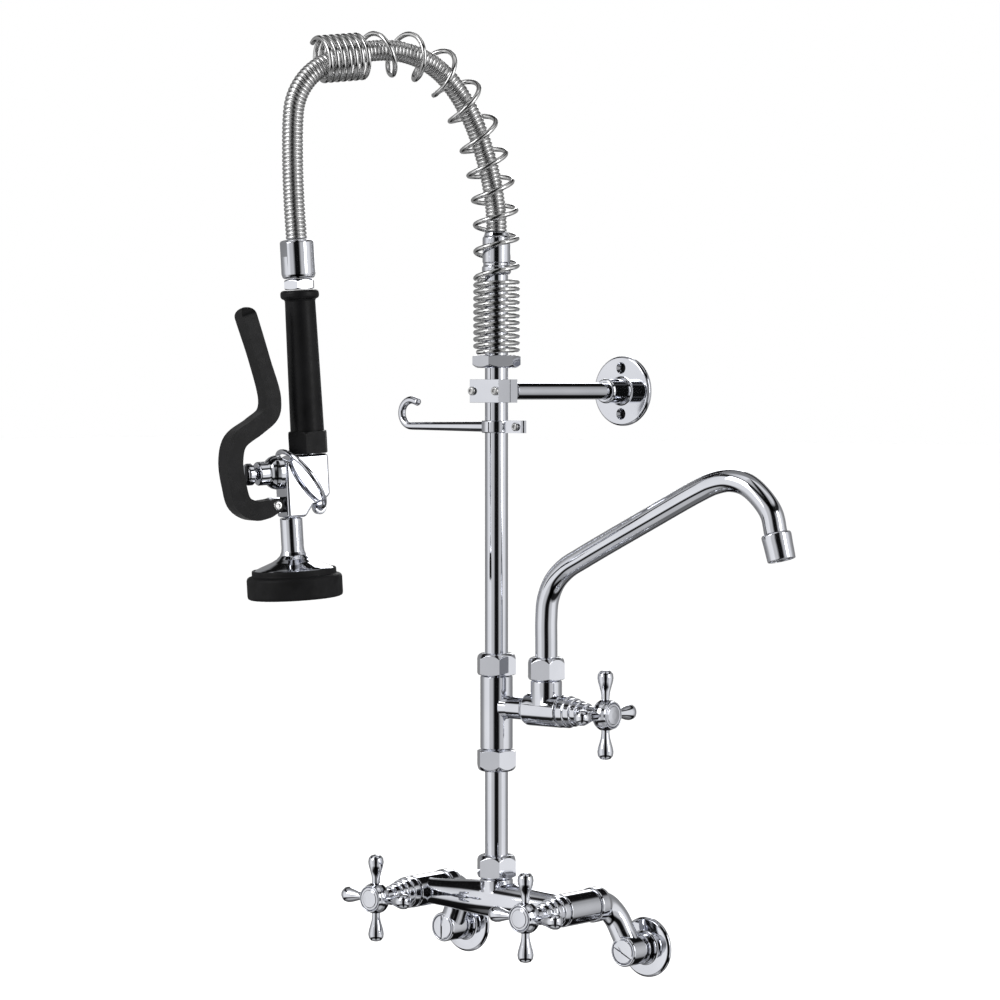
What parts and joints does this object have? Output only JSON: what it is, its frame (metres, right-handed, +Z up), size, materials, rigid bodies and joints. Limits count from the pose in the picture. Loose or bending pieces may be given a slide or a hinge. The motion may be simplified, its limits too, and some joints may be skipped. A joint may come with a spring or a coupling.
{
  "type": "pre-rinse tap",
  "caption": "Wall-mounted pre-rinse tap with cross-handle mixer, swing spout with its own valve, wall bracket, hook, and a spray gun on a spring-held hose.",
  "frame": {"origin": "midway between the centres of the two water inlets, on the wall plane that the inlet flanges rest on", "axes": "+Z up along the riser, +Y into the wall (the user stands at -Y), +X to the user's right, where the spout points"},
  "size_m": [0.4076, 0.3934, 0.7517],
  "materials": {
    "chrome": "polished",
    "steel": "satin",
    "brass": "machined",
    "rubber": "matt",
    "plastic": "moulded, fine texture"
  },
  "bodies": {
    "frame": {"mixer_body": "chrome", "hot_bonnet": "chrome", "hot_cartridge": "brass", "cold_bonnet": "chrome", "cold_cartridge": "brass", "riser_base_nut": "chrome", "lower_riser_tube": "chrome", "lower_tee_nut": "chrome", "tee_body": "chrome", "upper_tee_nut": "chrome", "upper_riser_tube": "chrome", "spout_valve_bonnet": "chrome", "spout_valve_cartridge": "brass", "spout_nut": "chrome", "bracket_clamp_cap": "chrome", "bracket_clamp_body": "chrome", "bracket_screw_left": "steel", "bracket_screw_right": "steel", "bracket_tube": "chrome", "bracket_flange": "chrome", "bracket_gasket": "rubber", "spring_seat_nut": "chrome", "hose_top_coupling": "chrome"},
    "hot_knob": {"hot_spindle": "brass", "hot_handle": "chrome", "hot_index_cap": "chrome"},
    "cold_knob": {"cold_spindle": "brass", "cold_handle": "chrome", "cold_index_cap": "chrome"},
    "spout_knob": {"spout_valve_spindle": "brass", "spout_valve_handle": "chrome", "spout_valve_index_cap": "chrome"},
    "left_arm": {"left_inlet_arm": "chrome", "left_wall_flange": "chrome"},
    "left_stop": {"left_stop_screw": "chrome"},
    "right_arm": {"right_inlet_arm": "chrome", "right_wall_flange": "chrome"},
    "right_stop": {"right_stop_screw": "chrome"},
    "spout": {"spout_tube": "chrome", "spout_seal_ring": "rubber", "aerator_housing": "chrome", "aerator_insert": "steel"},
    "hook": {"hook_finger": "chrome", "hook_clamp_screw": "steel"},
    "hose_arch": {"spring": "steel", "hose": "steel", "hose_end_ferrule": "chrome", "hose_end_nut": "chrome"},
    "spray_gun": {"grip": "plastic", "gun_body": "chrome", "gun_bonnet": "chrome", "stem_spring": "steel", "lever_pin": "steel", "spray_bell": "chrome", "spray_bumper": "rubber", "spray_face": "steel"},
    "lever": {"squeeze_lever": "plastic"},
    "stem": {"valve_stem": "chrome"},
    "ring": {"hang_ring": "chrome"}
  },
  "joints": [
    {"name": "hot_turn", "type": "hinge", "parent": "frame", "child": "hot_knob", "pos_m": [-0.078, -0.134, 0.038], "axis": [0, -1, 0], "range_deg": [0, 90]},
    {"name": "cold_turn", "type": "hinge", "parent": "frame", "child": "cold_knob", "pos_m": [0.078, -0.134, 0.038], "axis": [0, 1, 0], "range_deg": [0, 90]},
    {"name": "spout_valve_turn", "type": "hinge", "parent": "frame", "child": "spout_knob", "pos_m": [0.111, -0.076, 0.1933], "axis": [1, 0, 0], "range_deg": [0, 90]},
    {"name": "left_arm_swing", "type": "hinge", "parent": "frame", "child": "left_arm", "pos_m": [-0.078, -0.046, 0.038], "axis": [0, 1, 0], "range_deg": [-56, 14]},
    {"name": "right_arm_swing", "type": "hinge", "parent": "frame", "child": "right_arm", "pos_m": [0.078, -0.046, 0.038], "axis": [0, 1, 0], "range_deg": [-14, 56]},
    {"name": "left_stop_turn", "type": "hinge", "parent": "left_arm", "child": "left_stop", "pos_m": [-0.095, -0.035, 0], "axis": [0, 1, 0], "range_deg": [0, 90]},
    {"name": "right_stop_turn", "type": "hinge", "parent": "right_arm", "child": "right_stop", "pos_m": [0.095, -0.035, 0], "axis": [0, 1, 0], "range_deg": [0, 90]},
    {"name": "spout_swing", "type": "hinge", "parent": "frame", "child": "spout", "pos_m": [0.0515, -0.076, 0.236], "axis": [0, 0, 1], "range_deg": [-90, 15]},
    {"name": "hook_swing", "type": "hinge", "parent": "frame", "child": "hook", "pos_m": [0, -0.076, 0.4175], "axis": [0, 0, 1], "range_deg": [-35, 90]},
    {"name": "hose_swing", "type": "hinge", "parent": "frame", "child": "hose_arch", "pos_m": [0, -0.076, 0.5725], "axis": [0, 0, 1], "range_deg": [-60, 45]},
    {"name": "gun_twist", "type": "hinge", "parent": "hose_arch", "child": "spray_gun", "pos_m": [-0.0636, -0.23747, 0.52507], "axis": [-0.0217, -0.0552, 0.9982], "range_deg": [-90, 90]},
    {"name": "lever_squeeze", "type": "hinge", "parent": "spray_gun", "child": "lever", "pos_m": [-0.07182, -0.25833, 0.35784], "axis": [-0.9304, 0.3665, 0], "range_deg": [0, 7.5], "stiffness_Nm_per_rad": 2, "springref_deg": -5.73},
    {"name": "stem_push", "type": "slide", "parent": "spray_gun", "child": "stem", "axis": [0.3659, 0.9288, 0.0593], "range_m": [0, 0.0033], "deforming": ["stem_spring"]},
    {"name": "ring_lift", "type": "hinge", "parent": "spray_gun", "child": "ring", "pos_m": [-0.05756, -0.22213, 0.35545], "axis": [-0.9304, 0.3665, 0], "range_deg": [0, 3.5]}
  ],
  "couplings": [
    {"joint": "stem_push", "follows": "lever_squeeze", "m_per_rad": 0.0251}
  ]
}
